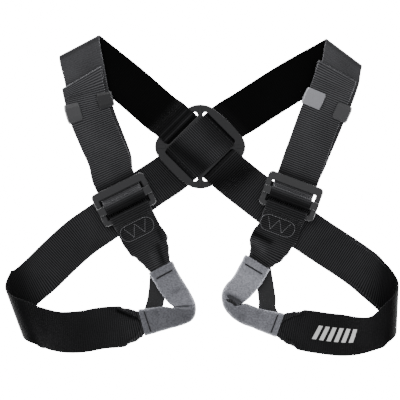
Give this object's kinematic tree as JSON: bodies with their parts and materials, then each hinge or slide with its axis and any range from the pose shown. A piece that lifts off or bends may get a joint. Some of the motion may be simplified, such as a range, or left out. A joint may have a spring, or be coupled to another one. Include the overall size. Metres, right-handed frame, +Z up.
{
  "type": "climbing chest harness",
  "caption": "Chest harness of crossed webbing straps with a slotted back plate, two adjusting buckles and two sleeved tie-in eyes, lying flat.",
  "frame": {"origin": "centre of the overall box, on the surface that the harness lies on", "axes": "+Z up from the surface, +X across the harness to the side that is on the right in the picture, +Y towards the shoulders"},
  "size_m": [0.412, 0.3372, 0.0218],
  "materials": {
    "webbing": "woven black polyamide webbing",
    "sleeve_cloth": "close-woven grey sleeve cloth",
    "plate_plastic": "satin moulded plastic",
    "dark_steel": "dark satin coated steel",
    "grey_steel": "grey satin coated steel",
    "keeper_plastic": "soft matt plastic",
    "pale_keeper_plastic": "soft matt plastic"
  },
  "bodies": {
    "root": {"left_shoulder_strap": "webbing", "right_shoulder_strap": "webbing", "left_eye_bridge": "webbing", "right_eye_bridge": "webbing", "left_eye_sleeve": "sleeve_cloth", "right_eye_sleeve": "sleeve_cloth", "back_plate": "plate_plastic", "left_buckle_frame": "dark_steel", "left_buckle_slider": "dark_steel", "right_buckle_frame": "grey_steel", "right_buckle_slider": "grey_steel", "left_outer_keeper": "keeper_plastic", "left_inner_keeper": "keeper_plastic", "right_outer_keeper": "keeper_plastic", "right_inner_keeper": "pale_keeper_plastic"}
  },
  "joints": []
}
